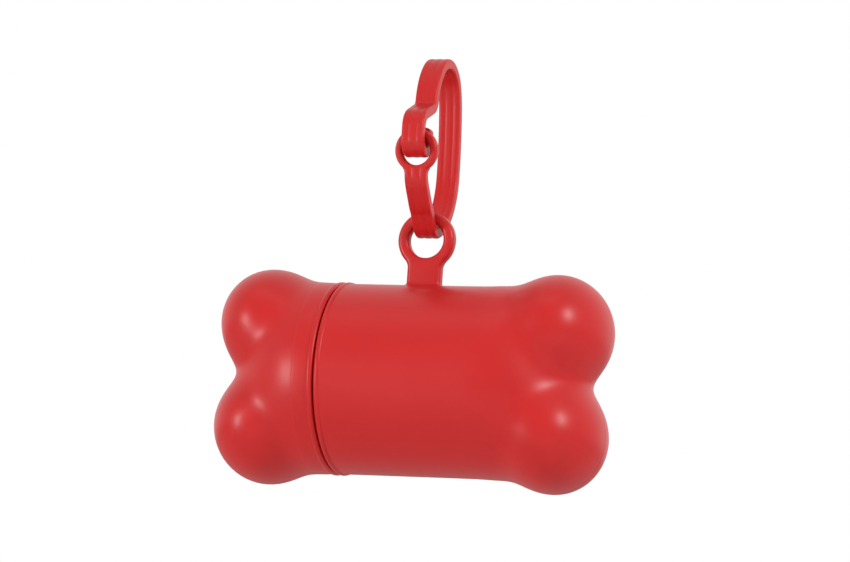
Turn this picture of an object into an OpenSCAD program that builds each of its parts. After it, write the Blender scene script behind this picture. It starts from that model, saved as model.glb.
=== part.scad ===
// A bone-shaped dispenser for pet waste bags, hung from a flexible hook-and-ring clip.
// The origin is the inner top of the clip, where a dog lead passes. +Z is up, +X runs along the
// bone towards its closed end, and the bag slot faces +Y.

/* [Bone ends] */
// Distance of the lobe centres from the middle of the bone, along it
lobe_x = 31.4; // [28:0.1:33]
// Height of the lobe centres above and below the axis of the barrel
lobe_z = 11; // [9.5:0.1:12]
// Lobe radius along the bone
lobe_rx = 10.8; // [10:0.1:12]
// Lobe radius from front to back
lobe_ry = 16; // [14:0.1:17]
// Lobe radius in height
lobe_rz = 11.7; // [11:0.1:13]
// Half length of the barrel under the two end notches
end_x = 34.3; // [32:0.1:36]
// Rounding of the barrel where it meets the end notch
end_r = 16.5; // [14:0.1:18]
// Softness of the crease where a lobe meets the barrel
crease = 2; // [1.2:0.1:2.4]

/* [Barrel] */
// Outer radius of the barrel
barrel_r = 20; // [19:0.1:21]
// Wall of the two barrel halves
barrel_wall = 1.9; // [1.6:0.1:2.4]
// Place of the barrel mouth, measured from the middle of the bone
mouth_x = -15.2; // [-17:0.05:-13]

/* [Neck] */
// Length of the neck that stands out of the barrel mouth
neck_len = 7.2; // [5:0.1:10]
// Wall of the neck
neck_wall = 1.45; // [1.2:0.05:1.8]
// Length of the web that joins the neck to the barrel wall
neck_web = 2; // [1.5:0.1:3]
// Depth of the web behind the edge of the mouth
web_set = 0.25; // [0.1:0.05:0.5]
// Radial clearance between the neck and the socket of the cap
neck_fit = 0.08; // [0.02:0.01:0.1]

/* [Cap] */
// Open seam between the barrel mouth and the rim of the cap
seam_gap = 0.3; // [0.2:0.05:0.8]
// Wall of the two cap halves
cap_wall = 2.2; // [2:0.1:2.6]
// Wall of the cap round the socket that the neck slides in
socket_wall = 1.95; // [1.7:0.05:1.99]
// Radius of the bead round the mouth of the barrel and the rim of the cap
bead_r = 0.6; // [0.5:0.05:0.9]
// Height of the beads above the surface
bead_rise = 0.35; // [0.2:0.05:0.5]
// Free length left beyond the end of the neck in its socket
neck_spare = 0.6; // [0.4:0.1:1.5]

/* [Bag slot] */
// Length of the slot that the bags leave by
slot_len = 34; // [30:1:36]
// Height of the slot
slot_h = 4.8; // [4.4:0.1:6]
// Middle of the slot, measured from the middle of the bone
slot_x = 6.5; // [5:0.5:8]

/* [Hanging eye] */
// Outer radius of the eye
eye_r = 6.15; // [5.9:0.05:6.4]
// Radius of the hole in the eye
eye_hole_r = 3.8; // [3.7:0.05:3.9]
// Thickness of the eye from front to back
eye_t = 3; // [2.8:0.1:3.1]
// Rounding of the edges of the eye
eye_fillet = 0.9; // [0.7:0.05:1]
// Height of the middle of the eye above the barrel wall
eye_rise = 9.8; // [9:0.1:11]
// Width of the stem under the eye
stem_w = 7.4; // [6:0.1:8]
// Radius of the sweep between the stem and the eye
stem_sweep = 2.5; // [1.5:0.1:3]
// Depth to which the sweep runs into the eye
stem_bite = 0.15; // [0.1:0.05:0.3]
// Place of the eye, measured from the middle of the bone
eye_x = 1; // [-1:0.1:3]

/* [Clip] */
// Width of the clip band
band_w = 4.7; // [4.2:0.1:4.7]
// Thickness of the clip band
band_t = 2.2; // [1.9:0.05:2.25]
// Radius of the crown, at the middle of the band
crown_r = 7.15; // [6.8:0.05:7.5]
// Radius of the easing bend behind the crown, at the middle of the band
back_ease_r = 19.66; // [17:0.01:22]
// Radius of the easing bend in front of the crown, at the middle of the band
front_ease_r = 11.44; // [10:0.01:13]
// Radius of the long bow behind the loop, at the middle of the band
bow_r = 79; // [60:1:100]
// Radius of the lower back corner, at the middle of the band
heel_r = 14.8; // [14:0.1:15.5]
// Radius of the bottom bend inside the band, where the eye turns
seat_r = 2.3; // [2.25:0.05:2.6]
// Radius of the hook bend, at the middle of the band
hook_r = 2.7; // [2.6:0.05:2.9]
// Straight length of the clip in front of the bottom bend
seat_leg = 2.9; // [2.5:0.1:3.5]
// Radius of the first bend of the tail, at the middle of the band
knee_r = 3; // [2:0.1:4]
// Radius of the second bend of the tail, at the middle of the band
shin_r = 6; // [4:0.1:8]
// Straight length of the tail that carries the ring
tail_leg = 4.3; // [4:0.1:4.5]
// Radius of the bend under the ring, at the middle of the band
nape_r = 5; // [4:0.1:6]
// Radius of the bend that lets the front drop inwards, at the middle of the band
step_r = 2.4; // [1.6:0.1:2.8]
// Straight length of the front that runs forwards
step_leg = 4.8; // [4:0.1:6]
// Radius of the bend that turns the front down to the hook, at the middle of the band
brow_r = 3.2; // [2.6:0.1:4]
// Straight length of the hook above its bend, on the outer side
hook_leg = 2.3; // [1.2:0.1:2.8]
// Straight length of the hook's tip above its bend
tip_leg = 2; // [1.6:0.1:2.4]
// Outer radius of the ring that hooks in
ring_r = 4.6; // [4.4:0.05:4.8]
// Radius of the hole in the ring
ring_hole_r = 3.07; // [3:0.01:3.2]
// Thickness of the ring
ring_t = 1.9; // [1.6:0.1:2]
// Depth to which the tail runs into the ring
ring_bite = 0.9; // [0.7:0.05:1.2]

/* [Bag roll] */
// Outer radius of the wound roll
roll_r = 12; // [11:0.25:12.5]
// Length of the wound roll
roll_len = 54; // [50:0.5:55]
// Middle of the roll, measured from the middle of the bone
roll_x = 0.5; // [0:0.25:1]
// Outer radius of the paper core
core_r = 5.2; // [4.8:0.1:6]
// Wall of the paper core
core_wall = 1; // [0.8:0.1:1.4]
// Length that the core stands out of the roll at each end
core_proud = 0.5; // [0:0.1:0.8]
// Gap left between pieces that move past each other
gap = 0.3; // [0.2:0.05:0.4]

/* [Leading bag] */
// Width of the gathered film where it leaves the slot
film_w = 28; // [24:1:28]
// Thickness of the gathered film
film_t = 0.5; // [0.4:0.05:0.7]
// Length of the film that stands out of the slot
film_out = 5.5; // [3:0.5:8]
// Length of the film that lies over the roll, behind its axis
film_in = 6; // [4:0.5:8]

/* [Hidden] */
$fn = 96;

red = "#c8282d";

// Degrees between the points of a bend of the clip
band_step = 6;

// Facets of the bone's skin: round a half of it, along the barrel, and round its end
skin_round = 30;
skin_along = 3;
skin_end = 17;
skin_steps = 14;

// Place on the bone's axis that the fans round its end start from
hub_x = 20;

// Length that a cut runs past the face that it opens
over = 1;

// Derived places along the bone
rim_x = mouth_x - seam_gap;
neck_r = barrel_r - socket_wall - neck_fit;
socket_r = barrel_r - socket_wall;
neck_end = mouth_x - neck_len;
socket_end = neck_end - neck_spare;
roll_z = -(neck_r - neck_wall - roll_r - gap);
film_z = roll_z + roll_r + gap + film_t / 2;
slot_y = sqrt(barrel_r * barrel_r - film_z * film_z);

// The eye's upper wall turns about its own middle, in the bottom bend of the clip
eye_z = barrel_r + eye_rise;
hang_z = eye_z + (eye_r + eye_hole_r) / 2;
web_r = barrel_r - barrel_wall / 2;

// ---- The clip's path: legs of [radius, turn], or [length, 0] for a straight one ----

crown_start = [0, band_t / 2];
loop_legs = [[crown_r, -67], [back_ease_r, -13], [bow_r, -10], [heel_r, -72],
             [seat_r + band_t / 2, -69], [seat_leg, 0], [knee_r, 17], [shin_r, -15],
             [tail_leg, 0], [nape_r, -34], [ring_bite, 0]];
front_legs = [[crown_r, 43], [front_ease_r, 43], [step_r, -62], [step_leg, 0], [brow_r, 66],
              [hook_leg, 0], [hook_r, 180], [tip_leg, 0]];

// A point at an angle, and the side, middle and end of a leg that starts at [point, heading]
function ahead(a) = [cos(a), sin(a)];
function side(leg) = 90 * sign(leg[1]);
function arc_middle(at, leg) = at[0] + leg[0] * ahead(at[1] + side(leg));
function leg_end(at, leg) = leg[1] == 0
    ? [at[0] + leg[0] * ahead(at[1]), at[1]]
    : [arc_middle(at, leg) + leg[0] * ahead(at[1] + leg[1] - side(leg)), at[1] + leg[1]];
function station(at, legs, n, i = 0) = i == n
    ? at
    : station(leg_end(at, legs[i]), legs, n, i + 1);

// Points beside the path, at a signed distance to the left of it
function leg_edge(at, leg, off) = leg[1] == 0
    ? [at[0] + off * ahead(at[1] + 90)]
    : let (n = ceil(abs(leg[1]) / band_step))
      [for (i = [0 : n - 1]) arc_middle(at, leg)
          + (leg[0] - sign(leg[1]) * off) * ahead(at[1] - side(leg) + leg[1] * i / n)];
function edge(at, legs, off) = concat(
    [for (i = [0 : len(legs) - 1]) each leg_edge(station(at, legs, i), legs[i], off)],
    [let (last = station(at, legs, len(legs))) last[0] + off * ahead(last[1] + 90)]);
function reversed(v) = [for (i = [len(v) - 1 : -1 : 0]) v[i]];
function without_first(v) = [for (i = [1 : len(v) - 1]) v[i]];

crown_back = [crown_start, 0];
crown_front = [crown_start, 180];
seat_at = station(crown_back, loop_legs, 4);
seat_mid = arc_middle(seat_at, loop_legs[4]);
neck_at = station(crown_back, loop_legs, len(loop_legs));
ring_mid = neck_at[0] + (ring_r - ring_bite) * ahead(neck_at[1]);
tip_at = station(crown_front, front_legs, len(front_legs));

// ---- The bone's skin ----

// How far a point lies outside the rounded barrel, outside a lobe, and outside them all
function barrel_field(p) =
    let (qx = abs(p[0]) - (end_x - end_r), qr = norm([p[1], p[2]]) - (barrel_r - end_r))
    norm([max(qx, 0), max(qr, 0)]) + min(max(qx, qr), 0) - end_r;
function lobe_field(p, up) =
    let (q = [abs(p[0]) - lobe_x, p[1], p[2] - up * lobe_z],
        a = norm([q[0] / lobe_rx, q[1] / lobe_ry, q[2] / lobe_rz]),
        b = norm([q[0] / pow(lobe_rx, 2), q[1] / pow(lobe_ry, 2), q[2] / pow(lobe_rz, 2)]))
    b == 0 ? -lobe_rx : a * (a - 1) / b;
function bone_field(p) = -crease * ln(exp(-barrel_field(p) / crease)
    + exp(-lobe_field(p, 1) / crease) + exp(-lobe_field(p, -1) / crease));

// Nearest and furthest that the skin can lie from the points on the axis that it is sought from
skin_near = barrel_r / 2;
skin_far = lobe_x + lobe_rx - hub_x + lobe_z;

// Distance from a point inside, along a direction, to the skin at a given depth under the surface
function reach(at, dir, depth, low = skin_near, high = skin_far, n = skin_steps) =
    let (mid = (low + high) / 2)
    n == 0 ? mid
    : bone_field(at + mid * dir) < -depth ? reach(at, dir, depth, mid, high, n - 1)
    : reach(at, dir, depth, low, mid, n - 1);
function skin_point(x, tilt, turn, depth) =
    let (dir = [sin(tilt), -cos(tilt) * cos(turn), cos(tilt) * sin(turn)])
    [x, 0, 0] + reach([x, 0, 0], dir, depth) * dir;

// Rings of the front half, from the open rim to the end: straight ones, then fans from one centre
function skin_rings(rim, depth) = concat(
    [for (i = [0 : skin_along]) [for (j = [0 : skin_round])
        let (x = rim + (hub_x - rim) * i / (skin_along + 1), turn = -90 + 180 * j / skin_round,
             r = i == 0 ? barrel_r - depth : reach([x, 0, 0], [0, -cos(turn), sin(turn)], depth))
        [x, -r * cos(turn), r * sin(turn)]]],
    [for (i = [0 : skin_end - 1]) [for (j = [0 : skin_round])
        skin_point(hub_x, 90 * i / skin_end, -90 + 180 * j / skin_round, depth)]]);

// One half of a bone end and its tube, as a closed shell with its parting face at y = 0
module half_shell(rim, wall) {
    outer = skin_rings(rim, 0);
    inner = skin_rings(rim, wall);
    n = skin_round + 1;
    m = len(outer);
    pole = m * n;
    inside = pole + 1;
    points = concat([for (ring = outer) each ring], [skin_point(hub_x, 90, 0, 0)],
                    [for (ring = inner) each ring], [skin_point(hub_x, 90, 0, wall)]);
    skin = concat(
        [for (i = [0 : m - 2]) for (j = [0 : n - 2])
            each [[i * n + j, i * n + j + 1, (i + 1) * n + j + 1],
                  [i * n + j, (i + 1) * n + j + 1, (i + 1) * n + j]]],
        [for (j = [0 : n - 2]) [(m - 1) * n + j, (m - 1) * n + j + 1, pole]]);
    rim_strip = [for (j = [0 : n - 2])
        each [[j + 1, j, inside + j], [j + 1, inside + j, inside + j + 1]]];
    parting = [for (border = [0, n - 1]) for (i = [0 : m - 1])
        let (a = i * n + border, b = i < m - 1 ? a + n : pole)
        each border == 0
            ? [[a, b, inside + b], [a, inside + b, inside + a]]
            : [[inside + b, b, a], [inside + a, inside + b, a]]];
    polyhedron(points, concat(skin, [for (f = skin) [for (v = reversed(f)) inside + v]],
                              rim_strip, parting));
}

// The front half of what its outline of [radius, along] turns into round the bone's axis
module half_turned() {
    mirror([0, 1, 0])
        rotate([0, 90, 0])
            rotate_extrude(angle = 180)
                children();
}

// The bone hangs with the upper wall of its eye in the bottom bend of the clip
module in_bone() {
    translate([-eye_x, seat_mid[0], seat_mid[1] - hang_z])
        children();
}

// ---- The clip ----

// The band's side outline: out along the back to the ring, home inside, then the same in front
module band_outline() {
    half = band_t / 2;
    polygon(concat(
        edge(crown_back, loop_legs, half),
        reversed(edge(crown_back, loop_legs, -half)),
        without_first(edge(crown_front, front_legs, half)),
        [for (a = [60 : -30 : -60]) tip_at[0] + half * ahead(tip_at[1] + a)],
        reversed(without_first(edge(crown_front, front_legs, -half)))));
}

module clip_ring() {
    translate([0, ring_mid[0], ring_mid[1]])
        rotate([neck_at[1], 0, 0])
            difference() {
                cylinder(h = ring_t, r = ring_r, center = true);
                cylinder(h = ring_t + 2 * over, r = ring_hole_r, center = true);
            }
}

module clip_strap() {
    color(red)
        union() {
            rotate([90, 0, 90])
                linear_extrude(band_w, center = true)
                    band_outline();
            clip_ring();
        }
}

// ---- The barrel ----

// The front half of the neck that the cap slides on, with the web that joins it to the barrel
module neck_half() {
    web_start = mouth_x + web_set;
    inner_r = neck_r - neck_wall;
    half_turned()
        polygon([[inner_r, neck_end], [neck_r, neck_end], [neck_r, web_start], [web_r, web_start],
                 [web_r, web_start + neck_web], [inner_r, web_start + neck_web]]);
}

// The front half of the hanging eye: a ring with rounded edges on a flat stem
module eye_half() {
    deep = eye_t / 2;
    round_up = [for (a = [0 : 22.5 : 90])
        [eye_r - eye_fillet, deep - eye_fillet] + eye_fillet * ahead(a)];
    round_down = [for (a = [90 : 22.5 : 180])
        [eye_hole_r + eye_fillet, deep - eye_fillet] + eye_fillet * ahead(a)];
    translate([eye_x, 0, eye_z])
        rotate([90, 0, 0]) {
            rotate_extrude()
                polygon(concat([[eye_hole_r, 0], [eye_r, 0]], round_up, round_down));
            linear_extrude(deep)
                stem_outline();
        }
}

// The stem, drawn from the middle of the eye: straight sides that sweep out into the eye's ring
module stem_outline() {
    half_w = stem_w / 2;
    middle = half_w + stem_sweep;
    drop = sqrt(pow(eye_r - stem_bite + stem_sweep, 2) - pow(middle, 2));
    turn = atan2(drop, middle);
    sweep = [for (i = [0 : 6]) [middle, -drop] + stem_sweep * ahead(180 - turn * i / 6)];
    side = concat([[half_w, web_r - eye_z]], sweep);
    top = [[0, eye_fillet - eye_r]];
    polygon(concat(side, top, [for (p = reversed(side)) [-p[0], p[1]]]));
}

// The front half of the bead round an open rim, with the bead's middle at a place along the bone
module bead_half(along) {
    half_turned()
        translate([barrel_r + bead_rise - bead_r, along])
            circle(r = bead_r);
}

module barrel_half() {
    union() {
        half_shell(mouth_x, barrel_wall);
        bead_half(mouth_x + bead_r);
        neck_half();
        eye_half();
    }
}

// The slot is cut straight through the back wall, with round ends
module slot_cut() {
    reach_in = barrel_r - slot_y + slot_h;
    translate([slot_x, slot_y, film_z])
        rotate([90, 0, 0]) {
            cube([slot_len - slot_h, slot_h, 2 * reach_in], center = true);
            for (s = [-1, 1])
                translate([s * (slot_len - slot_h) / 2, 0, 0])
                    cylinder(h = 2 * reach_in, d = slot_h, center = true);
        }
}

module barrel_front() {
    color(red)
        in_bone()
            barrel_half();
}

module barrel_back() {
    color(red)
        in_bone()
            difference() {
                mirror([0, 1, 0])
                    barrel_half();
                slot_cut();
            }
}

// ---- The cap ----

module cap_half() {
    difference() {
        union() {
            mirror([1, 0, 0])
                half_shell(-rim_x, cap_wall);
            bead_half(rim_x - bead_r);
        }
        translate([socket_end, 0, 0])
            rotate([0, 90, 0])
                cylinder(h = rim_x - socket_end + over, r = socket_r);
    }
}

module cap_front() {
    color(red)
        in_bone()
            cap_half();
}

module cap_back() {
    color(red)
        in_bone()
            mirror([0, 1, 0])
                cap_half();
}

// ---- The roll of bags ----

module tube(length, outer, inner) {
    translate([roll_x, 0, roll_z])
        rotate([0, 90, 0])
            difference() {
                cylinder(h = length, r = outer, center = true);
                cylinder(h = length + 2 * over, r = inner, center = true);
            }
}

module roll_core() {
    color("#c9b08a")
        in_bone()
            tube(roll_len + 2 * core_proud, core_r, core_r - core_wall);
}

module bag_roll() {
    color("#2a2c30")
        in_bone()
            tube(roll_len, roll_r, core_r);
}

// The first bag of the roll, gathered to pass the slot
module leading_bag() {
    color("#34373c")
        in_bone()
            translate([slot_x - film_w / 2, -film_in, film_z - film_t / 2])
                cube([film_w, film_in + slot_y + film_out, film_t]);
}

clip_strap();
barrel_front();
barrel_back();
cap_front();
cap_back();
roll_core();
bag_roll();
leading_bag();
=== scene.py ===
import math

import bmesh
import bpy
import numpy as np
from mathutils import Matrix, Vector


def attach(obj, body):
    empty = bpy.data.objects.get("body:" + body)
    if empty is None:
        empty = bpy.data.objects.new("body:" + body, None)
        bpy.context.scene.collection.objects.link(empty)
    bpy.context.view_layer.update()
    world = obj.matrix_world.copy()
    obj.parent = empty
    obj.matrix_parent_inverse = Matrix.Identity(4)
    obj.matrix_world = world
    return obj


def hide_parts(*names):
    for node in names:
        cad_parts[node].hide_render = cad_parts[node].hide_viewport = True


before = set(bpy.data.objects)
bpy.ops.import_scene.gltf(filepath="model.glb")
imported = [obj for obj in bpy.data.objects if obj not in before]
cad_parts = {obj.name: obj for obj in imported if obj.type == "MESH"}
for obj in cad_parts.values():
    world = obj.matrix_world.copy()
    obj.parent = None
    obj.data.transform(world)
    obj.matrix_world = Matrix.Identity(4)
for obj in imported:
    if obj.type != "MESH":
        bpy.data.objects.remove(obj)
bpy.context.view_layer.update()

# ---- Barrel: the hollow bone with its closed end, hung under the clip ----
# It is injection moulded in soft red plastic as a front and a back half, which are welded at y = 0 of
# the bone, with a small bead round its mouth. All of the bone is drawn in millimetres from its middle.

mm = 0.001
bone_place = Vector((-1.0, -2.231, -66.860))
barrel_r = 20.0
barrel_wall = 1.9
mouth_x = -15.2
weld_depth = 0.07
lobes = {"Lobe x": 31.4, "Lobe z": 11.0, "Lobe rx": 10.8, "Lobe ry": 16.0, "Lobe rz": 11.7, "Hub x": 20.0,
         "End x": 34.3, "End r": 16.5, "Crease": 2.0, "Barrel r": barrel_r}


class Wire:
    """A node's output that takes arithmetic: each operator adds the Math node that works it out."""

    def __init__(self, graph, socket):
        self.graph = graph
        self.socket = socket

    def math(self, operation, *others):
        return self.graph.node("ShaderNodeMath", {"operation": operation},
                               dict(enumerate((self, *others))))[0]

    def __add__(self, other):
        return self.math("ADD", other)

    def __sub__(self, other):
        return self.math("SUBTRACT", other)

    def __mul__(self, other):
        return self.math("MULTIPLY", other)

    def __truediv__(self, other):
        return self.math("DIVIDE", other)

    def __pow__(self, other):
        return self.math("POWER", other)

    __radd__ = __add__
    __rmul__ = __mul__

    def __rsub__(self, other):
        return self.graph.node("ShaderNodeMath", {"operation": "SUBTRACT"}, {0: other, 1: self})[0]

    def __rtruediv__(self, other):
        return self.graph.node("ShaderNodeMath", {"operation": "DIVIDE"}, {0: other, 1: self})[0]

    def __neg__(self):
        return self * -1.0

    def held(self, low, high):
        return self.math("MAXIMUM", low).math("MINIMUM", high)


class Graph:
    """A node tree that is drawn in script."""

    def __init__(self, tree):
        self.tree = tree

    def node(self, kind, settings=None, sockets=None):
        made = self.tree.nodes.new(kind)
        for name, value in (settings or {}).items():
            if name == "stops":
                ramp = made.color_ramp.elements
                while len(ramp) < len(value):
                    ramp.new(0.5)
                for stop, (place, colour) in zip(ramp, value):
                    stop.position = place
                    stop.color = colour
            else:
                setattr(made, name, value)
        for key, value in (sockets or {}).items():
            if isinstance(value, Wire):
                self.tree.links.new(value.socket, made.inputs[key])
            else:
                made.inputs[key].default_value = value
        return [Wire(self, s) for s in made.outputs]

    def vector(self, x, y, z):
        return self.node("ShaderNodeCombineXYZ", {}, {0: x, 1: y, 2: z})[0]

    def parts(self, vector):
        return self.node("ShaderNodeSeparateXYZ", {}, {0: vector})

    def on_vectors(self, operation, a, b=None, scale=None):
        sockets = {0: a}
        if b is not None:
            sockets[1] = b
        if scale is not None:
            sockets["Scale"] = scale
        return self.node("ShaderNodeVectorMath", {"operation": operation}, sockets)

    def length(self, vector):
        return self.on_vectors("LENGTH", vector)[1]

    def noise(self, place, scale, detail, roughness):
        return self.node("ShaderNodeTexNoise", {}, {
            "Vector": place, "Scale": scale, "Detail": detail, "Roughness": roughness})[0]

    def attribute(self, name, kind="FLOAT"):
        return self.node("GeometryNodeInputNamedAttribute", {"data_type": kind}, {"Name": name})[0]

    def stored(self, geometry, name, value, kind="FLOAT"):
        return self.node("GeometryNodeStoreNamedAttribute", {"data_type": kind, "domain": "POINT"},
                         {"Geometry": geometry, "Name": name, "Value": value})[0]


def form_tree(name, sockets):
    """A Geometry Nodes tree with named inputs, and its Group Input's wires by name."""
    tree = bpy.data.node_groups.new(name, "GeometryNodeTree")
    tree.interface.new_socket(name="Geometry", in_out="INPUT", socket_type="NodeSocketGeometry")
    tree.interface.new_socket(name="Geometry", in_out="OUTPUT", socket_type="NodeSocketGeometry")
    for label, kind in sockets:
        tree.interface.new_socket(name=label, in_out="INPUT", socket_type="NodeSocket" + kind)
    graph = Graph(tree)
    made = tree.nodes.new("NodeGroupInput")
    wires = {s.name: Wire(graph, s) for s in made.outputs if s.name}
    return tree, graph, wires


def close_tree(graph, geometry, material):
    real = graph.node("GeometryNodeRealizeInstances", {}, {"Geometry": geometry})[0]
    painted = graph.node("GeometryNodeSetMaterial", {}, {"Geometry": real, "Material": material})[0]
    out = graph.tree.nodes.new("NodeGroupOutput")
    graph.tree.links.new(painted.socket, out.inputs[0])


def made_piece(name, mesh):
    piece = bpy.data.objects.new(name, mesh)
    bpy.context.scene.collection.objects.link(piece)
    return piece


def formed(name, tree, values, base=None):
    """Runs a form's tree with these inputs and keeps the result as a plain mesh."""
    piece = made_piece(name, base or bpy.data.meshes.new(name))
    modifier = piece.modifiers.new("form", "NODES")
    modifier.node_group = tree
    for item in tree.interface.items_tree:
        if item.in_out == "INPUT" and item.name in values:
            modifier[item.identifier] = values[item.name]
    piece.update_tag()
    evaluated = piece.evaluated_get(bpy.context.evaluated_depsgraph_get())
    mesh = bpy.data.meshes.new_from_object(evaluated)
    piece.modifiers.clear()
    piece.data = mesh
    mesh.name = name
    return piece


def finished(piece, sharp=35):
    """Turns the faces outwards and shades them smooth, except over sharp edges."""
    work = bmesh.new()
    work.from_mesh(piece.data)
    bmesh.ops.remove_doubles(work, verts=work.verts, dist=1e-7)
    bmesh.ops.dissolve_degenerate(work, edges=work.edges, dist=1e-8)
    bmesh.ops.recalc_face_normals(work, faces=work.faces)
    work.to_mesh(piece.data)
    work.free()
    piece.data.shade_smooth()
    piece.data.set_sharp_from_angle(angle=math.radians(sharp))
    return piece


def bone_shell_tree():
    """One half of a bone end and its tube. Four sheets of points, which are the outer skin, the inner
    skin, the weld faces and the rim, walk out from the bone's axis until they meet the skin."""
    tree, g, w = form_tree("bone_shell", [
        *[(label, "Float") for label in lobes],
        ("Rows", "Int"), ("Columns", "Int"), ("Rim", "Float"), ("Wall", "Float"), ("Bore", "Float"),
        ("Bore end", "Float"), ("Rim round", "Float"), ("Bead r", "Float"), ("Bead rise", "Float"),
        ("Bead blend", "Float"), ("Weld", "Float"), ("Way", "Vector"), ("Place", "Vector"),
        ("Material", "Material")])
    half_pi = math.pi / 2
    # Rows of points over the bead, round the rim's inner corner, and up to the end of the tube
    bead_rows, round_rows, tube_rows = 14, 5, 36
    rim_depth = 1.0
    walk_steps, walk_share = 30, 0.9
    tiny = 1e-4
    fine = math.radians(0.5)
    index = g.node("GeometryNodeInputIndex")[0]

    def turned(column):
        even = (math.pi - 2 * fine) / (w["Columns"] - 3)
        return (column.held(0, 1) * fine + (column - 1).held(0, w["Columns"] - 3) * even
                + (column - (w["Columns"] - 2)).held(0, 1) * fine - half_pi)

    def sheet(across, down, row, side, turn, border):
        mesh = g.node("GeometryNodeMeshGrid", {}, {"Vertices X": across, "Vertices Y": down})[0]
        for name, value in (("row", row), ("side", side), ("turn", turn), ("border", border)):
            mesh = g.stored(mesh, name, value)
        return mesh

    row = (index / w["Columns"]).math("FLOOR")
    column = index - row * w["Columns"]
    edge_column = column.math("COMPARE", 0, 0.5) + column.math("COMPARE", w["Columns"] - 1, 0.5)
    pair = (index / 2).math("FLOOR")
    sheets = [sheet(w["Rows"], w["Columns"], row, side, turned(column), edge_column) for side in (0.0, 1.0)]
    sheets += [sheet(w["Rows"], 2, pair, index - pair * 2, turn, 1.0) for turn in (-half_pi, half_pi)]
    sheets += [sheet(2, w["Columns"], 0.0, row, turned(column), edge_column)]
    joined = g.tree.nodes.new("GeometryNodeJoinGeometry")
    for part in sheets:
        g.tree.links.new(part.socket, joined.inputs[0])

    row, side, turn, border = (g.attribute(name) for name in ("row", "side", "turn", "border"))
    bead_turn = (row / bead_rows).held(0, 1) * math.pi
    round_turn = (row / round_rows).held(0, 1) * half_pi
    bore_share = ((row - round_rows) / (bead_rows - round_rows)).held(0, 1)
    tube_share = ((row - bead_rows) / (tube_rows - bead_rows)).held(0, 1)
    tilt = ((row - tube_rows) / (w["Rows"] - 1 - tube_rows)).held(0, 1) * half_pi
    outer_start = w["Bead r"] * (1 - bead_turn.math("COSINE"))
    inner_start = (w["Rim round"] * (1 - round_turn.math("COSINE"))
                   + (rim_depth - w["Rim round"]) * bore_share)
    start_length = w["Bead r"] * 2 * (1 - side) + rim_depth * side
    x = (w["Rim"] + outer_start * (1 - side) + inner_start * side
         + (w["Hub x"] - w["Rim"] - start_length) * tube_share)
    at = g.vector(x, 0.0, 0.0)
    way = g.vector(tilt.math("SINE"), -(tilt.math("COSINE") * turn.math("COSINE")),
                   tilt.math("COSINE") * turn.math("SINE"))
    geometry = g.stored(Wire(g, joined.outputs[0]), "at", at, "FLOAT_VECTOR")
    geometry = g.stored(geometry, "way", way, "FLOAT_VECTOR")
    at, way = g.attribute("at", "FLOAT_VECTOR"), g.attribute("way", "FLOAT_VECTOR")
    near = g.on_vectors("SCALE", way, scale=w["Barrel r"] / 2)[0]
    geometry = g.node("GeometryNodeSetPosition", {}, {
        "Geometry": geometry, "Position": g.on_vectors("ADD", at, near)[0]})[0]

    def lobe(px, py, pz, up):
        qx, qz = px.math("ABSOLUTE") - w["Lobe x"], pz - w["Lobe z"] * up
        once = g.length(g.vector(qx / w["Lobe rx"], py / w["Lobe ry"], qz / w["Lobe rz"]))
        twice = g.length(g.vector(qx / w["Lobe rx"] ** 2, py / w["Lobe ry"] ** 2, qz / w["Lobe rz"] ** 2))
        return once * (once - 1) / twice.math("MAXIMUM", tiny)

    px, py, pz = g.parts(g.node("GeometryNodeInputPosition")[0])
    qx = px.math("ABSOLUTE") - (w["End x"] - w["End r"])
    qr = g.length(g.vector(0.0, py, pz)) - (w["Barrel r"] - w["End r"])
    barrel = (g.length(g.vector(qx.math("MAXIMUM", 0), qr.math("MAXIMUM", 0), 0.0))
              + qx.math("MAXIMUM", qr).math("MINIMUM", 0) - w["End r"])
    crease = w["Crease"]
    total = (-(barrel / crease)).math("EXPONENT")
    for up in (1.0, -1.0):
        total = total + (-(lobe(px, py, pz, up) / crease)).math("EXPONENT")
    outside = -(total.math("LOGARITHM", math.e)) * crease
    walk = -(outside + w["Wall"] * side) * walk_share

    begin = g.tree.nodes.new("GeometryNodeRepeatInput")
    end = g.tree.nodes.new("GeometryNodeRepeatOutput")
    begin.pair_with_output(end)
    begin.inputs["Iterations"].default_value = walk_steps
    g.tree.links.new(geometry.socket, begin.inputs["Geometry"])
    step = g.node("GeometryNodeSetPosition", {}, {
        "Geometry": Wire(g, begin.outputs["Geometry"]),
        "Offset": g.on_vectors("SCALE", way, scale=walk)[0]})[0]
    g.tree.links.new(step.socket, end.inputs["Geometry"])
    geometry = Wire(g, end.outputs["Geometry"])

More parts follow.
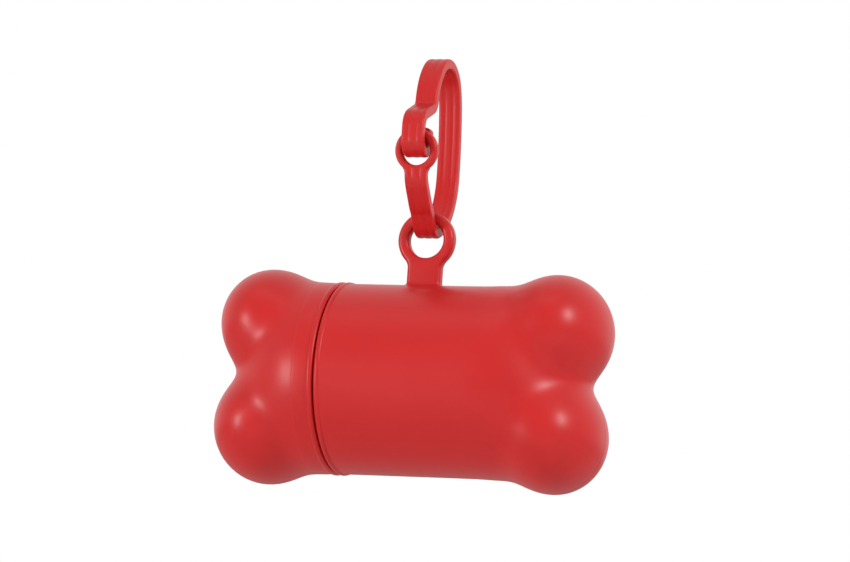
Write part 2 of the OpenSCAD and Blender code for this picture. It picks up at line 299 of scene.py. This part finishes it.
    far = g.length(g.on_vectors("SUBTRACT", g.node("GeometryNodeInputPosition")[0], at)[0])
    bead = w["Barrel r"] + w["Bead rise"] - w["Bead r"] + w["Bead r"] * bead_turn.math("SINE")
    before = row.math("LESS_THAN", bead_rows / 2)
    beaded = bead * row.math("LESS_THAN", tube_rows)
    outer = bead * before + far.math("SMOOTH_MAX", beaded, w["Bead blend"]) * (1 - before)
    in_bore = row.math("LESS_THAN", bead_rows + 0.5)
    inner = (w["Bore"] + w["Rim round"] * (1 - round_turn.math("SINE"))) * in_bore + far * (1 - in_bore)
    far = outer * (1 - side) + inner * side - w["Weld"] * border * (1 - side) * tilt.math("COSINE")
    place = g.on_vectors("ADD", at, g.on_vectors("SCALE", way, scale=far)[0])[0]
    px, py, pz = g.parts(place)
    radius = g.length(g.vector(0.0, py, pz)).math("MAXIMUM", tiny)
    bored = side * px.math("LESS_THAN", w["Bore end"])
    wider = (w["Bore"] * bored).math("MAXIMUM", radius) / radius
    place = g.vector(px, py * wider, pz * wider)
    geometry = g.node("GeometryNodeSetPosition", {}, {"Geometry": geometry, "Position": place})[0]
    geometry = g.node("GeometryNodeMergeByDistance", {}, {"Geometry": geometry, "Distance": tiny})[0]
    position = g.node("GeometryNodeInputPosition")[0]
    placed = g.on_vectors("ADD", g.on_vectors("MULTIPLY", position, w["Way"])[0], w["Place"])[0]
    geometry = g.node("GeometryNodeSetPosition", {}, {
        "Geometry": geometry, "Position": g.on_vectors("SCALE", placed, scale=mm)[0]})[0]
    for name in ("row", "side", "turn", "border", "at", "way"):
        geometry = g.node("GeometryNodeRemoveAttribute", {}, {"Geometry": geometry, "Name": name})[0]
    close_tree(g, geometry, w["Material"])
    return tree


def shell_plastic():
    """Satin red plastic with a fine spark-eroded grain, as the mould leaves it."""
    made = bpy.data.materials.new("satin_red_plastic")
    made.use_nodes = True
    made.node_tree.nodes.clear()
    g = Graph(made.node_tree)
    place = g.node("ShaderNodeTexCoord")[3]
    flow = g.noise(place, 60.0, 3.0, 0.5)
    grain = g.noise(place, 2600.0, 2.0, 0.6)
    colour = g.node("ShaderNodeMix", {"data_type": "RGBA"}, {
        0: flow.held(0, 1), 6: (0.54, 0.014, 0.014, 1), 7: (0.59, 0.018, 0.018, 1)})[2]
    bump = g.node("ShaderNodeBump", {}, {"Strength": 0.25, "Distance": 0.00002, "Height": grain})[0]
    shader = g.node("ShaderNodeBsdfPrincipled", {}, {
        "Base Color": colour, "Roughness": 0.36 + (flow - 0.5) * 0.1, "Normal": bump,
        "Specular IOR Level": 0.27})[0]
    out = made.node_tree.nodes.new("ShaderNodeOutputMaterial")
    made.node_tree.links.new(shader.socket, out.inputs[0])
    return made


shell_tree = bone_shell_tree()
red = shell_plastic()
shell_rows, shell_columns = 81, 121


def bone_half(name, values, end, front):
    """The front or back half of the closed end (end 1) or of the cap (end -1)."""
    piece = formed(name, shell_tree, {
        **lobes, "Rows": shell_rows, "Columns": shell_columns, "Weld": weld_depth,
        "Way": (float(end), 1.0 if front else -1.0, 1.0), "Place": tuple(bone_place),
        "Material": red, **values})
    return finished(piece)


bead_form = {"Rim round": 0.25, "Bead r": 0.6, "Bead rise": 0.3, "Bead blend": 0.9}
barrel_form = {"Rim": mouth_x, "Wall": barrel_wall, "Bore": barrel_r - barrel_wall, "Bore end": mouth_x,
               **bead_form}
barrel_front = bone_half("barrel_front_shell", barrel_form, 1, True)
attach(barrel_front, "dispenser")
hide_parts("barrel_front")

# ---- Bag slot: the way out for the bags, in the back half of the barrel ----
# A long hole with round ends is moulded through the back wall, level with the top of the roll. Its lips
# are rounded outside, so that the film doesn't tear.

slot_x = 6.5
slot_len = 34.0
slot_h = 4.8
film_z = 8.33
slot_lip = 0.6


def lofted(name, loops):
    """A mesh of faces between loops of points in millimetres, with its two ends filled."""
    loops = np.asarray(loops, float)
    rows, count = loops.shape[:2]
    work = bmesh.new()
    verts = [[work.verts.new(p) for p in loop] for loop in loops * mm]
    for i in range(rows - 1):
        for j in range(count):
            k = (j + 1) % count
            work.faces.new((verts[i][j], verts[i][k], verts[i + 1][k], verts[i + 1][j]))
    work.faces.new(verts[0])
    work.faces.new(reversed(verts[-1]))
    mesh = bpy.data.meshes.new(name)
    work.to_mesh(mesh)
    work.free()
    return finished(made_piece(name, mesh))


def slot_loop(spread, depth, count=96):
    """The slot's outline, spread outwards, on the barrel's surface at a depth under it."""
    half = (slot_len - slot_h) / 2
    turns = np.radians((np.arange(count) + 0.5) * 360 / count)
    x = slot_x + np.sign(np.cos(turns)) * half + (slot_h / 2 + spread) * np.cos(turns)
    z = film_z + (slot_h / 2 + spread) * np.sin(turns)
    y = np.sqrt((barrel_r - depth) ** 2 - z ** 2)
    return np.stack([x, y, z], 1) + np.array(bone_place)


cut_over, cut_under = 1.5, 2.0
lip = [(slot_lip * (1 - math.cos(b)), slot_lip * (1 - math.sin(b))) for b in np.radians(range(80, -1, -10))]
cutter = lofted("slot_cutter", [slot_loop(lip[0][0], -cut_over), *[slot_loop(*step) for step in lip],
                                slot_loop(0, barrel_wall + cut_under)])
cutter.data.materials.append(red)
barrel_back = bone_half("barrel_back_shell", barrel_form, 1, False)
cut = barrel_back.modifiers.new("slot", "BOOLEAN")
cut.object = cutter
cut.solver = "EXACT"
mesh = bpy.data.meshes.new_from_object(barrel_back.evaluated_get(bpy.context.evaluated_depsgraph_get()))
barrel_back.modifiers.clear()
barrel_back.data = mesh
finished(barrel_back)
bpy.data.objects.remove(cutter)
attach(barrel_back, "dispenser")
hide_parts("barrel_back")

# ---- Neck: the spigot that the cap is pushed on ----
# A thin turned wall stands out of the barrel's mouth. It is moulded with the barrel and joined to it by
# a short web, and its free edge is rounded so that the cap finds it.

neck_r = 17.97
neck_inner_r = 16.52
neck_len = 7.2
neck_end = mouth_x - neck_len
neck_round = 0.4
web_start = mouth_x + 0.25
web_end = web_start + 2
web_r = barrel_r - barrel_wall / 2


def rounded(corners, radius, steps=5):
    """A closed outline with each corner cut back to an arc, or left sharp where its radius is 0."""
    points = []
    count = len(corners)
    for i, (corner, r) in enumerate(zip(corners, radius)):
        here = np.array(corner, float)
        back = np.array(corners[i - 1], float) - here
        on = np.array(corners[(i + 1) % count], float) - here
        back, on = back / np.linalg.norm(back), on / np.linalg.norm(on)
        for t in ([0.0] if r == 0 else np.linspace(0, 1, steps)):
            middle = here + (back + on) * r
            a = t * math.pi / 2
            points.append(middle - on * r * math.cos(a) - back * r * math.sin(a) if r else here)
    return points


def turned_ring(name, outline, middle, steps=144):
    """Turns a closed outline of (radius, along) points round a line along the bone."""
    work = bmesh.new()
    rings = []
    for turn in np.linspace(0, 2 * math.pi, steps, endpoint=False):
        rings.append([work.verts.new(Vector((middle[0] + x, middle[1] - r * math.cos(turn),
                                             middle[2] + r * math.sin(turn))) * mm) for r, x in outline])
    for i, ring in enumerate(rings):
        after = rings[(i + 1) % steps]
        for j in range(len(outline)):
            k = (j + 1) % len(outline)
            work.faces.new((ring[j], ring[k], after[k], after[j]))
    mesh = bpy.data.meshes.new(name)
    work.to_mesh(mesh)
    work.free()
    return finished(made_piece(name, mesh))


neck_corners = [(neck_inner_r, neck_end), (neck_r, neck_end), (neck_r, web_start), (web_r, web_start),
                (web_r, web_end), (neck_inner_r, web_end)]
neck_rounds = [neck_round, neck_round, 0, 0, 0, neck_round]
neck = turned_ring("neck", rounded(neck_corners, neck_rounds), bone_place)
neck.data.materials.append(red)
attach(neck, "dispenser")

# ---- Hanging eye: the loop on top of the barrel that the clip passes through ----
# A flat ring on a stem stands on the barrel's weld line, moulded in one with the two halves. All its
# edges are rounded, its stem sweeps out into the ring, and a small fillet joins it to the barrel.

eye_middle = (1.0, 0.0, 29.8)
eye_r = 6.15
eye_hole_r = 3.8
eye_t = 3.0
eye_round = 0.9
stem_low = -10.9
stem_half = 3.7
stem_sweep = 2.5
stem_foot = 0.6


def plate(name, outline, hole_r, thick, edge, steps=8):
    """A flat plate with a round hole at its middle and rounded edges, as a mesh whose axes run across
    it, through it and up it, in millimetres."""
    outline = np.asarray(outline, float)
    along = np.roll(outline, -1, 0) - np.roll(outline, 1, 0)
    out = np.stack([along[:, 1], -along[:, 0]], 1) / np.linalg.norm(along, axis=1)[:, None]
    turns = np.linspace(0, 2 * math.pi, 96, endpoint=False)
    circle = np.stack([np.cos(turns), np.sin(turns)], 1)
    arc = np.linspace(0, math.pi / 2, steps)
    levels = [(edge * (1 - math.cos(a)), thick / 2 - edge + edge * math.sin(a)) for a in arc]
    levels = [(inset, -depth) for inset, depth in reversed(levels)] + levels
    work = bmesh.new()
    caps = []
    for points, outward in ((outline, out), (circle * hole_r, -circle)):
        loops = [[work.verts.new((p[0], depth, p[1])) for p in points - outward * inset]
                 for inset, depth in levels]
        for below, above in zip(loops, loops[1:]):
            for j in range(len(points)):
                k = (j + 1) % len(points)
                work.faces.new((below[j], below[k], above[k], above[j]))
        caps.append((loops[0], loops[-1]))
    for end in (0, 1):
        edges = [work.edges.get((loop[end][j], loop[end][(j + 1) % len(loop[end])]))
                 for loop in caps for j in range(len(loop[end]))]
        bmesh.ops.triangle_fill(work, edges=edges, use_beauty=True)
    mesh = bpy.data.meshes.new(name)
    work.to_mesh(mesh)
    work.free()
    return mesh


def eye_outline():
    middle = stem_half + stem_sweep
    drop = math.sqrt((eye_r + stem_sweep) ** 2 - middle ** 2)
    meet = math.atan2(drop, middle)
    stem = [(stem_half, z) for z in np.linspace(stem_low, -drop, 14, endpoint=False)]
    sweep = [(middle - stem_sweep * math.cos(a), -drop + stem_sweep * math.sin(a))
             for a in np.linspace(0, meet, 10, endpoint=False)]
    ring = [(eye_r * math.cos(a), eye_r * math.sin(a)) for a in np.linspace(-meet, math.pi / 2, 44)]
    half = stem + sweep + ring
    return half + [(-x, z) for x, z in reversed(half[:-1])]


def footed(point):
    """Spreads the bottom of the stem into a fillet that meets the barrel."""
    sunk = min(max(barrel_r + stem_foot - (eye_middle[2] + point.z), 0.0), stem_foot)
    spread = stem_foot - math.sqrt(stem_foot ** 2 - sunk ** 2)
    return Vector((point.x + math.copysign(spread, point.x),
                   point.y + math.copysign(spread, point.y), point.z))


mesh = plate("hanging_eye", eye_outline(), eye_hole_r, eye_t, eye_round)
for vertex in mesh.vertices:
    vertex.co = (footed(vertex.co) + Vector(eye_middle) + bone_place) * mm
eye = finished(made_piece("hanging_eye", mesh))
eye.data.materials.append(red)
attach(eye, "dispenser")

# ---- Cap: the bone end that pulls off to load a new roll ----
# It is moulded and welded as the barrel is, with the same bead round its rim. Behind the rim a bored
# socket slides on the neck, and a thin seam stays open between the two beads.

seam_gap = 0.3
rim_x = mouth_x - seam_gap
cap_wall = 2.2
socket_r = 18.05
neck_spare = 0.6
cap_form = {"Rim": -rim_x, "Wall": cap_wall, "Bore": socket_r, "Bore end": neck_spare - neck_end,
            **bead_form}
for node, front in (("cap_front", True), ("cap_back", False)):
    cap = bone_half(node + "_shell", cap_form, -1, front)
    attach(cap, "cap")
    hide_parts(node)

# ---- Clip: one flexible band with a ring at one end and a hook at the other ----
# It is moulded flat in the same red plastic and bends by hand. From the ring it runs down through the
# eye, up behind, over the crown and down to the hook, which holds the ring. Ribs run along both faces.

band_w = 4.7
band_t = 2.2
band_corner = 0.45
band_groove = 0.07
ring_r = 4.6
ring_hole_r = 3.07
ring_t = 1.9
ring_bite = 0.9
ring_sweep = 2.0
tip_h = 1.1
crown_r = 7.15
loop_legs = [(crown_r, -67), (19.66, -13), (79, -10), (14.8, -72), (3.4, -69), (2.9, 0), (3, 17), (6, -15),
             (4.3, 0), (5, -34), (ring_bite, 0)]
front_legs = [(crown_r, 43), (11.44, 43), (2.4, -62), (4.8, 0), (3.2, 66), (2.3, 0), (2.7, 180),
              (2 + tip_h, 0)]


def walked(heading, legs, step=0.3):
    """The points of legs of (radius, turn in degrees) or (length, 0), from the middle of the crown."""
    point, heading = np.array([0.0, band_t / 2]), math.radians(heading)
    points = [point]
    for size, turn in legs:
        turn = math.radians(turn)
        count = max(2, math.ceil((size if turn == 0 else abs(turn) * size) / step))
        for _ in range(count):
            a = turn / count
            length = size / count if turn == 0 else 2 * size * math.sin(abs(a) / 2)
            point = point + length * np.array([math.cos(heading + a / 2), math.sin(heading + a / 2)])
            heading += a
            points.append(point)
    return points, heading


back_points, ring_heading = walked(0, loop_legs)
front_points = walked(180, front_legs)[0]
tip_steps = (0.97, 0.9, 0.78, 0.62, 0.42, 0.2)
path = list(reversed(front_points)) + back_points[1:]
start, inward = path[0], (path[1] - path[0]) / np.linalg.norm(path[1] - path[0])
keep = [p for p in path if np.linalg.norm(p - start) > tip_h]
tip_points = [start + inward * tip_h * (1 - share) for share in tip_steps]
path = [start, *tip_points, start + inward * tip_h, *keep]
path_length = sum(np.linalg.norm(b - a) for a, b in zip(path, path[1:]))
ring_way = np.array([math.cos(ring_heading), math.sin(ring_heading)])
ring_mid = back_points[-1] + (ring_r - ring_bite) * ring_way


def band_tree():
    """A ribbed band along a path: it rounds off at the tip, and spreads where it meets the ring."""
    tree, g, w = form_tree("clip_band", [
        ("Width", "Float"), ("Thickness", "Float"), ("Corner", "Float"), ("Groove", "Float"),
        ("Tip", "Float"), ("Sweep", "Float"), ("Sweep from", "Float"), ("Material", "Material")])
    groove_place, groove_width, flat_depth, outline_step = 0.185, 0.3, 0.02, 0.16
    line = g.node("GeometryNodeMeshToCurve", {}, {"Mesh": w["Geometry"]})[0]
    line = g.node("GeometryNodeSetCurveNormal", {"mode": "FREE"}, {"Curve": line, "Normal": (1, 0, 0)})[0]
    gone = g.node("GeometryNodeSplineParameter")[1]
    line = g.stored(line, "gone", gone)
    box = g.node("GeometryNodeCurvePrimitiveQuadrilateral", {"mode": "RECTANGLE"},
                 {"Width": w["Width"], "Height": w["Thickness"]})[0]
    box = g.node("GeometryNodeFilletCurve", {"mode": "POLY"},
                 {"Curve": box, "Count": 5, "Radius": w["Corner"], "Limit Radius": True})[0]
    box = g.node("GeometryNodeResampleCurve", {"mode": "LENGTH"}, {"Curve": box, "Length": outline_step})[0]
    x, y, z = g.parts(g.node("GeometryNodeInputPosition")[0])
    off = (x.math("ABSOLUTE") - w["Width"] * groove_place) / groove_width
    hollow = w["Groove"] * (-(off * off)).math("EXPONENT")
    flat = y.math("ABSOLUTE").math("GREATER_THAN", w["Thickness"] / 2 - flat_depth)
    box = g.node("GeometryNodeSetPosition", {}, {
        "Geometry": box, "Position": g.vector(x, y - y.math("SIGN") * hollow * flat, 0.0)})[0]
    band = g.node("GeometryNodeCurveToMesh", {}, {
        "Curve": line, "Profile Curve": box, "Fill Caps": True,
        "Scale": (1 - (1 - gone / w["Tip"]).held(0, 1) ** 2).math("SQRT").math("MAXIMUM", 0.05)})[0]
    gone = g.attribute("gone")
    past = (gone - w["Sweep from"]).held(0, w["Sweep"] * 0.99)
    spread = w["Sweep"] - (w["Sweep"] * w["Sweep"] - past * past).math("SQRT")
    x, y, z = g.parts(g.node("GeometryNodeInputPosition")[0])
    wide = x * (1 + spread / (w["Width"] / 2))
    band = g.node("GeometryNodeSetPosition", {}, {"Geometry": band, "Position": g.vector(wide, y, z)})[0]
    band = g.node("GeometryNodeTransform", {}, {"Geometry": band, "Scale": (mm, mm, mm)})[0]
    band = g.node("GeometryNodeRemoveAttribute", {}, {"Geometry": band, "Name": "gone"})[0]
    close_tree(g, band, w["Material"])
    return tree


line = bpy.data.meshes.new("clip_line")
line.from_pydata([(0, y, z) for y, z in path], [(i, i + 1) for i in range(len(path) - 1)], [])
sweep_drop = math.sqrt((ring_r + ring_sweep) ** 2 - (band_w / 2 + ring_sweep) ** 2)
band = finished(formed("clip_band", band_tree(), {
    "Width": band_w, "Thickness": band_t, "Corner": band_corner, "Groove": band_groove, "Tip": tip_h,
    "Sweep": ring_sweep, "Sweep from": float(path_length - (sweep_drop - ring_r + ring_bite)),
    "Material": red}, line))
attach(band, "clip")
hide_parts("clip_strap")

ring_round = 0.5
turns = np.linspace(0, 2 * math.pi, 96, endpoint=False)
ring_outline = [(ring_r * math.cos(a), ring_r * math.sin(a)) for a in turns]
mesh = plate("clip_ring", ring_outline, ring_hole_r, ring_t, ring_round)
up = Vector((0, *ring_way))
facing = Vector((1, 0, 0)).cross(up)
for vertex in mesh.vertices:
    across, deep, high = vertex.co
    vertex.co = (Vector((across, *ring_mid)) + facing * deep + up * high) * mm
ring = finished(made_piece("clip_ring", mesh))
ring.data.materials.append(red)
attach(ring, "clip")

# ---- Roll of bags: thin film wound on a card tube, loose inside the barrel ----
# The film is folded to the roll's width and wound in a spiral, so its ends show the turns. The card tube
# is wound from a strip, and stands a little out of both ends.

roll_x = 0.5
roll_r = 12.0
roll_len = 54.0
core_r = 5.2
roll_z = -(neck_inner_r - roll_r - 0.3)
roll_place = bone_place + Vector((roll_x, 0, roll_z))


def plain_material(name, draw):
    made = bpy.data.materials.new(name)
    made.use_nodes = True
    made.node_tree.nodes.clear()
    g = Graph(made.node_tree)
    shader = g.node("ShaderNodeBsdfPrincipled", {}, draw(g, g.node("ShaderNodeTexCoord")[3]))[0]
    out = made.node_tree.nodes.new("ShaderNodeOutputMaterial")
    made.node_tree.links.new(shader.socket, out.inputs[0])
    return made


def film_surface(g, place):
    """Dark bag film: slightly shiny, with fine creases across it, and painted shade that darkens it in the
    creases' hollows.
    """
    wide = g.node("ShaderNodeMapping", {}, {"Vector": place, "Scale": (1.0, 6.0, 6.0)})[0]
    crease = g.noise(wide, 160.0, 4.0, 0.6)
    # The colour follows the crease height, so the low parts of the creases get painted shade.
    colour = g.node("ShaderNodeMix", {"data_type": "RGBA"}, {
        0: crease.held(0, 1), 6: (0.016, 0.017, 0.02, 1), 7: (0.04, 0.042, 0.047, 1)})[2]
    bump = g.node("ShaderNodeBump", {}, {"Strength": 0.6, "Distance": 0.0002, "Height": crease})[0]
    return {"Base Color": colour, "Roughness": 0.34 + (crease - 0.5) * 0.2, "Normal": bump}


def card_surface(g, place):
    """Grey-brown card: short fibres, and the seam of the strip that the tube is wound from."""
    fibre = g.noise(place, 900.0, 5.0, 0.7)
    x, y, z = g.parts(place)
    turn = (z - roll_place.z * mm).math("ARCTAN2", y - roll_place.y * mm) / (2 * math.pi)
    seam = (x / (18 * mm) + turn).math("FRACT")
    dark = (1 - (seam - 0.5).math("ABSOLUTE") / 0.012).held(0, 1)
    colour = g.node("ShaderNodeMix", {"data_type": "RGBA"}, {
        0: (fibre - dark * 0.5).held(0, 1), 6: (0.30, 0.21, 0.12, 1), 7: (0.55, 0.43, 0.28, 1)})[2]
    bump = g.node("ShaderNodeBump", {}, {"Strength": 0.5, "Distance": 0.00008, "Height": fibre - dark})[0]
    return {"Base Color": colour, "Roughness": 0.85 + (fibre - 0.5) * 0.1, "Normal": bump}


film = plain_material("dark_bag_film", film_surface)
card = plain_material("wound_card", card_surface)


def wound_tree():
    """A sheet wound in a spiral round the X axis, whose edges and turns wander a little."""
    tree, g, w = form_tree("wound_film", [
        ("Turns", "Float"), ("Steps", "Int"), ("Inner r", "Float"), ("Outer r", "Float"),
        ("Length", "Float"), ("Place", "Vector"), ("Seed", "Float"), ("Material", "Material")])
    spiral = g.node("GeometryNodeCurveSpiral", {}, {
        "Resolution": w["Steps"], "Rotations": w["Turns"], "Start Radius": w["Inner r"],
        "End Radius": w["Outer r"], "Height": 0.0})[0]
    gone = g.node("GeometryNodeSplineParameter")[1]
    wander = g.node("ShaderNodeTexNoise", {"noise_dimensions": "1D"}, {
        "W": gone / 14 + w["Seed"], "Scale": 1.0, "Detail": 2.0})[0]
    spiral = g.stored(spiral, "wander", wander - 0.5)
    sheet = g.node("GeometryNodeCurveToMesh", {}, {"Curve": spiral})[0]
    drift = g.attribute("wander") * 0.5
    sheet = g.node("GeometryNodeSetPosition", {}, {
        "Geometry": sheet, "Offset": g.vector(0.0, 0.0, drift - w["Length"] / 2)})[0]
    sheet = g.node("GeometryNodeExtrudeMesh", {"mode": "EDGES"}, {
        "Mesh": sheet, "Offset": g.vector(0.0, 0.0, w["Length"] - drift * 2), "Offset Scale": 1.0})[0]
    x, y, z = g.parts(g.node("GeometryNodeInputPosition")[0])
    placed = g.on_vectors("ADD", g.vector(z, y, x), w["Place"])[0]
    sheet = g.node("GeometryNodeSetPosition", {}, {
        "Geometry": sheet, "Position": g.on_vectors("SCALE", placed, scale=mm)[0]})[0]
    sheet = g.node("GeometryNodeRemoveAttribute", {}, {"Geometry": sheet, "Name": "wander"})[0]
    close_tree(g, sheet, w["Material"])
    return tree


def thickened(piece, thick):
    """Gives a sheet its thickness, and keeps the result as a plain mesh."""
    work = bmesh.new()
    work.from_mesh(piece.data)
    bmesh.ops.remove_doubles(work, verts=work.verts, dist=1e-7)
    bmesh.ops.recalc_face_normals(work, faces=work.faces)
    work.to_mesh(piece.data)
    work.free()
    wall = piece.modifiers.new("wall", "SOLIDIFY")
    wall.thickness = thick * mm
    wall.offset = 0
    mesh = bpy.data.meshes.new_from_object(piece.evaluated_get(bpy.context.evaluated_depsgraph_get()))
    piece.modifiers.clear()
    piece.data = mesh
    return finished(piece)


film_pitch = 0.33
film_wall = 0.2
film_inner_r, film_outer_r = core_r + film_wall / 2, roll_r - film_wall / 2
core_half = roll_len / 2 + 0.5
roll = thickened(formed("bag_roll_film", wound_tree(), {
    "Turns": (film_outer_r - film_inner_r) / film_pitch, "Steps": 64, "Inner r": film_inner_r,
    "Outer r": film_outer_r, "Length": roll_len - 0.3, "Place": tuple(roll_place), "Seed": 3.0,
    "Material": film}), film_wall)
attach(roll, "roll")
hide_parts("bag_roll")

core_wall, core_round = 1.0, 0.2
core_corners = [(core_r - core_wall, -core_half), (core_r, -core_half),
                (core_r, core_half), (core_r - core_wall, core_half)]
core = turned_ring("roll_core_tube", rounded(core_corners, [core_round] * 4), roll_place, 96)
core.data.materials.append(card)
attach(core, "roll")
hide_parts("roll_core")

# ---- First bag: the end of the film, gathered through the slot ----
# It leaves the roll flat, and gathers into soft pleats as it passes the slot. Its outer edge is the torn
# perforation of the bag before it.

film_w = 28.0
film_start = -6.0
film_out = 5.5
film_end = math.sqrt(barrel_r ** 2 - film_z ** 2) + film_out
pleats_from = 6.0


def first_bag_points(columns=141, rows=56):
    """A grid over the film, with two waves across it that grow from the roll to the slot."""
    points = []
    for y in np.linspace(film_start, film_end, rows):
        loose = min(max((y - pleats_from) / (film_end - pleats_from), 0.0), 1.0)
        loose = loose * loose * (3 - 2 * loose)
        for u in np.linspace(-1, 1, columns):
            pleat = math.sin(u * 17.0 + 0.6 * math.sin(3 * u)) * 0.75 + math.sin(u * 31.0 + 1.3) * 0.3
            tear = 0.25 * math.sin(u * 61.0) * max(0.0, (y - film_end + 2) / 2)
            fan = 1 - 0.06 * (1 - loose)
            points.append((slot_x + u * film_w / 2 * fan, y - 0.3 + tear * 0.8,
                           film_z + pleat * (0.1 + 1.1 * loose) + 0.3 * loose * math.cos(2.2 * u)))
    return points, columns, rows


points, columns, rows = first_bag_points()
mesh = bpy.data.meshes.new("first_bag")
mesh.from_pydata([(Vector(p) + bone_place) * mm for p in points], [],
                 [(i * columns + j, i * columns + j + 1, (i + 1) * columns + j + 1, (i + 1) * columns + j)
                  for i in range(rows - 1) for j in range(columns - 1)])
first_bag = thickened(made_piece("first_bag", mesh), 0.1)
first_bag.data.materials.append(film)
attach(first_bag, "leading")
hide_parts("leading_bag")

# ---- Studio: a pale floor under the hanging dispenser, soft boxes, and the camera ----
# The photograph looks slightly up at the bone, from in front of it and a little towards its closed end.
# Two boxes light it from the sides, and a third lights the floor in front, which throws light up.

floor_z = -0.175
floor_reach = 6.0
corners = [(x * floor_reach, y * floor_reach, floor_z) for x, y in ((-1, -1), (1, -1), (1, 1), (-1, 1))]
mesh = bpy.data.meshes.new("floor")
mesh.from_pydata(corners, [], [(0, 1, 2, 3)])
floor = made_piece("floor", mesh)
floor.data.materials.append(plain_material("pale_floor", lambda g, place: {
    "Base Color": (0.86, 0.86, 0.86, 1), "Roughness": 0.8}))

world = bpy.data.worlds.new("studio")
bpy.context.scene.world = world
world.use_nodes = True
world.node_tree.nodes.clear()
g = Graph(world.node_tree)
rays = g.node("ShaderNodeLightPath")
seen = rays[0].math("MAXIMUM", rays[3]).math("MAXIMUM", rays[6])
sky = 0.35
strength = sky + seen * (1 - sky)
shade = g.node("ShaderNodeBackground", {}, {"Color": (1, 1, 1, 1), "Strength": strength})[0]
out = world.node_tree.nodes.new("ShaderNodeOutputWorld")
world.node_tree.links.new(shade.socket, out.inputs[0])


def soft_box(name, place, aim, size, power, spread=180):
    lamp = bpy.data.lights.new(name, "AREA")
    lamp.shape = "RECTANGLE"
    lamp.size, lamp.size_y = size
    lamp.energy = power
    lamp.spread = math.radians(spread)
    held = bpy.data.objects.new(name, lamp)
    bpy.context.scene.collection.objects.link(held)
    held.location = place
    held.rotation_mode = "QUATERNION"
    held.rotation_quaternion = (Vector(aim) - Vector(place)).to_track_quat("-Z", "Y")


bone_at = bone_place * mm
soft_box("left_box", (-0.45, -0.48, -0.06), bone_at, (0.1, 0.2), 1.9)
soft_box("right_box", (0.6, -0.25, 0.26), bone_at, (0.1, 0.2), 2.8)
soft_box("floor_box", (0.05, -0.3, 0.3), (0.05, -0.32, floor_z), (0.5, 0.4), 0.25, 70)

view_turn, view_rise, view_roll = math.radians(18.286), math.radians(-6.694), math.radians(3.813)
view_far, view_focus = 0.8, 3822.22
frame_width, frame_middle, bone_pixel = 850, (425.0, 281.0), (413.374, 380.912)
back = Vector((math.sin(view_turn) * math.cos(view_rise), -math.cos(view_turn) * math.cos(view_rise),
               math.sin(view_rise)))
right = Vector((math.cos(view_turn), math.sin(view_turn), 0))
up = back.cross(right)
right, up = (right * math.cos(view_roll) + up * math.sin(view_roll),
             up * math.cos(view_roll) - right * math.sin(view_roll))
ahead = (-back + right * (frame_middle[0] - bone_pixel[0]) / view_focus
         - up * (frame_middle[1] - bone_pixel[1]) / view_focus).normalized()
right = ahead.cross(up).normalized()
up = right.cross(ahead)
lens = bpy.data.cameras.new("camera")
lens.sensor_width = 36.0
lens.lens = view_focus / frame_width * lens.sensor_width
camera = bpy.data.objects.new("camera", lens)
bpy.context.scene.collection.objects.link(camera)
camera.rotation_mode = "QUATERNION"
camera.rotation_quaternion = Matrix((right, up, -ahead)).transposed().to_quaternion()
camera.location = bone_at + back * view_far
lens.clip_start, lens.clip_end = 0.05, 20.0
bpy.context.scene.camera = camera
bpy.context.scene.view_settings.view_transform = "Standard"
